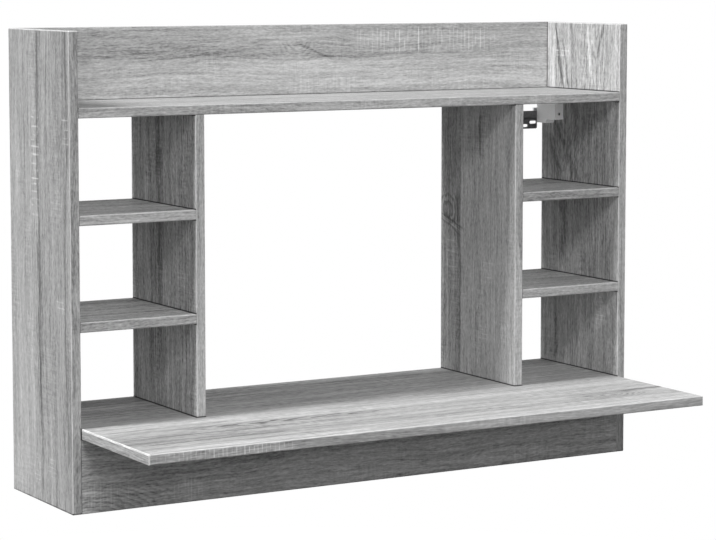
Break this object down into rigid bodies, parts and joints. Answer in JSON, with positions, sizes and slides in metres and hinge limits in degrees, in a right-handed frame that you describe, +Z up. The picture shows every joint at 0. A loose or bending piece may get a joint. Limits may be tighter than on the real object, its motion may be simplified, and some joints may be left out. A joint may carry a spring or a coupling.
{
  "type": "wall desk",
  "caption": "Wall-hung desk with a fixed work board, open shelf bays at both sides, a railed top shelf and adjustable hook hangers that hang it on wall plates.",
  "frame": {"origin": "on the wall, midway between the two wall plates, on the line of their upper screw slots", "axes": "+X along the wall to the right as seen from the front, +Y into the wall, +Z up"},
  "size_m": [1, 0.455, 0.7125],
  "materials": {
    "board_decor": "matt grey oak decor with saw marks",
    "beech": "plain beech",
    "zinc_steel": "zinc plated",
    "cast_zinc": "die-cast zinc",
    "housing_grey": "dull grey",
    "dark_steel": "dark plated"
  },
  "bodies": {
    "carcass": {"side_panel_left": "board_decor", "side_panel_right": "board_decor", "top_shelf": "board_decor", "desk_board": "board_decor", "back_rail": "board_decor", "front_rail": "board_decor", "divider_left": "board_decor", "divider_right": "board_decor", "upper_shelf_left": "board_decor", "upper_shelf_right": "board_decor", "lower_shelf_left": "board_decor", "lower_shelf_right": "board_decor", "wood_dowels": "beech", "cam_bolts": "zinc_steel", "cam_discs": "cast_zinc", "divider_screws": "zinc_steel", "hanger_housing_left": "housing_grey", "hanger_base_left": "zinc_steel", "hanger_base_screws_left": "zinc_steel", "hanger_post_screw_left": "zinc_steel", "hanger_housing_right": "housing_grey", "hanger_base_right": "zinc_steel", "hanger_base_screws_right": "zinc_steel", "hanger_post_screw_right": "zinc_steel"},
    "carriage_left": {"hook_carriage_left": "cast_zinc"},
    "depth_screw_left": {"depth_screw_left": "zinc_steel", "depth_screw_ring_left": "dark_steel"},
    "height_screw_left": {"height_screw_left": "zinc_steel", "height_screw_ring_left": "dark_steel"},
    "cam_nut_left": {"cam_nut_left": "cast_zinc", "cam_pin_left": "zinc_steel"},
    "hook_left": {"hook_left": "zinc_steel", "wall_plate_left": "dark_steel"},
    "carriage_right": {"hook_carriage_right": "cast_zinc"},
    "depth_screw_right": {"depth_screw_right": "zinc_steel", "depth_screw_ring_right": "dark_steel"},
    "height_screw_right": {"height_screw_right": "zinc_steel", "height_screw_ring_right": "dark_steel"},
    "cam_nut_right": {"cam_nut_right": "cast_zinc", "cam_pin_right": "zinc_steel"},
    "hook_right": {"hook_right": "zinc_steel", "wall_plate_right": "dark_steel"}
  },
  "joints": [
    {"name": "depth_slide_left", "type": "slide", "parent": "carcass", "child": "carriage_left", "axis": [0, 1, 0], "range_m": [0, 0.01]},
    {"name": "depth_turn_left", "type": "hinge", "parent": "carcass", "child": "depth_screw_left", "pos_m": [-0.4765, -0.064, 0.0385], "axis": [0, 1, 0], "range_deg": [-4510, 10]},
    {"name": "height_slide_left", "type": "slide", "parent": "carriage_left", "child": "hook_left", "axis": [0, 0, 1], "range_m": [-0.005, 0.005]},
    {"name": "nut_slide_left", "type": "slide", "parent": "carriage_left", "child": "cam_nut_left", "axis": [0, 1, 0], "range_m": [-0.0029, 0.0029]},
    {"name": "height_turn_left", "type": "hinge", "parent": "carriage_left", "child": "height_screw_left", "pos_m": [-0.4765, -0.054, 0.0165], "axis": [0, 1, 0], "range_deg": [-1490, 1490]},
    {"name": "depth_slide_right", "type": "slide", "parent": "carcass", "child": "carriage_right", "axis": [0, 1, 0], "range_m": [0, 0.01]},
    {"name": "depth_turn_right", "type": "hinge", "parent": "carcass", "child": "depth_screw_right", "pos_m": [0.4765, -0.064, 0.0385], "axis": [0, 1, 0], "range_deg": [-4510, 10]},
    {"name": "height_slide_right", "type": "slide", "parent": "carriage_right", "child": "hook_right", "axis": [0, 0, 1], "range_m": [-0.005, 0.005]},
    {"name": "nut_slide_right", "type": "slide", "parent": "carriage_right", "child": "cam_nut_right", "axis": [0, 1, 0], "range_m": [-0.0029, 0.0029]},
    {"name": "height_turn_right", "type": "hinge", "parent": "carriage_right", "child": "height_screw_right", "pos_m": [0.4765, -0.054, 0.0165], "axis": [0, 1, 0], "range_deg": [-1490, 1490]}
  ],
  "couplings": [
    {"joint": "depth_turn_left", "follows": "depth_slide_left", "rad_per_m": -7854},
    {"joint": "nut_slide_left", "follows": "height_slide_left", "ratio": 0.57735},
    {"joint": "height_turn_left", "follows": "height_slide_left", "rad_per_m": -5182.3},
    {"joint": "depth_turn_right", "follows": "depth_slide_right", "rad_per_m": -7854},
    {"joint": "nut_slide_right", "follows": "height_slide_right", "ratio": 0.57735},
    {"joint": "height_turn_right", "follows": "height_slide_right", "rad_per_m": -5182.3}
  ]
}
